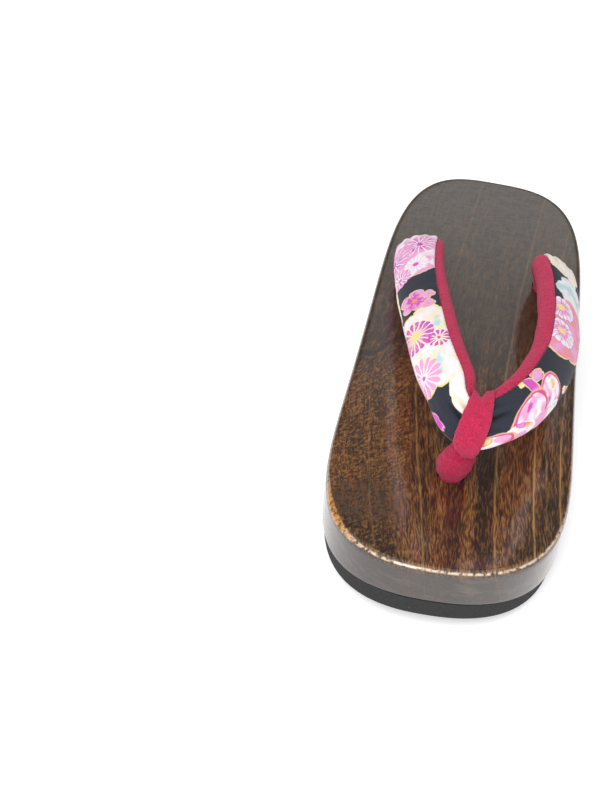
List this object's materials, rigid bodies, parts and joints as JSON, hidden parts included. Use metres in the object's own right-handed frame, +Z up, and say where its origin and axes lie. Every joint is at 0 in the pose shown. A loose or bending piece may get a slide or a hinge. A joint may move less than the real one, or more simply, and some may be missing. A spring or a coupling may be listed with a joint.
{
  "type": "geta sandal",
  "caption": "Wooden geta sandal on a rubber sole, with a padded printed V strap, a flannel lining and a toe thong.",
  "frame": {"origin": "on the floor under the middle of the platform", "axes": "+Y from toe to heel, +Z up, +X to the right of someone who faces the toe from in front"},
  "size_m": [0.0918, 0.2401, 0.0679],
  "materials": {
    "wood": "scorched paulownia under a gloss lacquer",
    "rubber": "matt sponge rubber",
    "printed_cotton": "matt printed cotton, flowers on a dark ground",
    "flannel": "crimson napped flannel"
  },
  "bodies": {
    "root": {"outsole": "rubber", "deck": "wood", "strap": "printed_cotton", "strap_lining": "flannel", "toe_thong": "flannel"}
  },
  "joints": []
}
